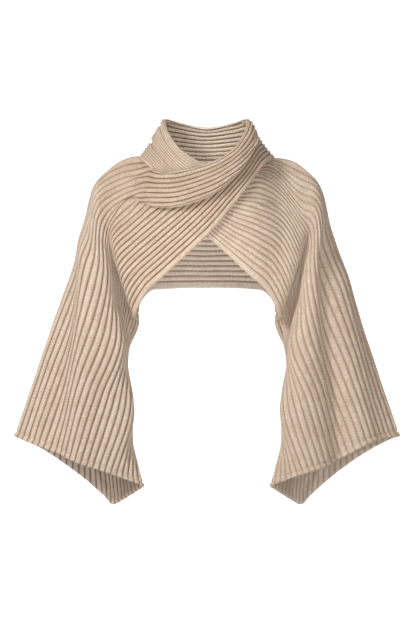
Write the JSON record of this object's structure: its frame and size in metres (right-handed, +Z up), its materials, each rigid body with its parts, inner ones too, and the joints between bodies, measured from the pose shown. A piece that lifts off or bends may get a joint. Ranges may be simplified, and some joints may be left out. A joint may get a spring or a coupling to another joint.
{
  "type": "knit wrap bolero",
  "caption": "Chunky rib knit wrap bolero with crossed fronts, a standing shawl collar and wide bell sleeves, in its hollow worn form.",
  "frame": {"origin": "on the middle line at the base of the neck, level with where the cloth lies on the shoulders", "axes": "+Z up, -Y the way the wearer faces, -X the wearer's right"},
  "size_m": [0.7382, 0.2526, 0.743],
  "materials": {
    "back_knit": "matt woollen rib knit",
    "front_over_knit": "matt woollen rib knit",
    "front_under_knit": "matt woollen rib knit",
    "collar_knit": "matt woollen rib knit",
    "sleeve_right_knit": "matt woollen rib knit",
    "sleeve_left_knit": "matt woollen rib knit"
  },
  "bodies": {
    "root": {"back": "back_knit", "front_over": "front_over_knit", "front_under": "front_under_knit", "collar": "collar_knit", "sleeve_right": "sleeve_right_knit", "sleeve_left": "sleeve_left_knit"}
  },
  "joints": []
}
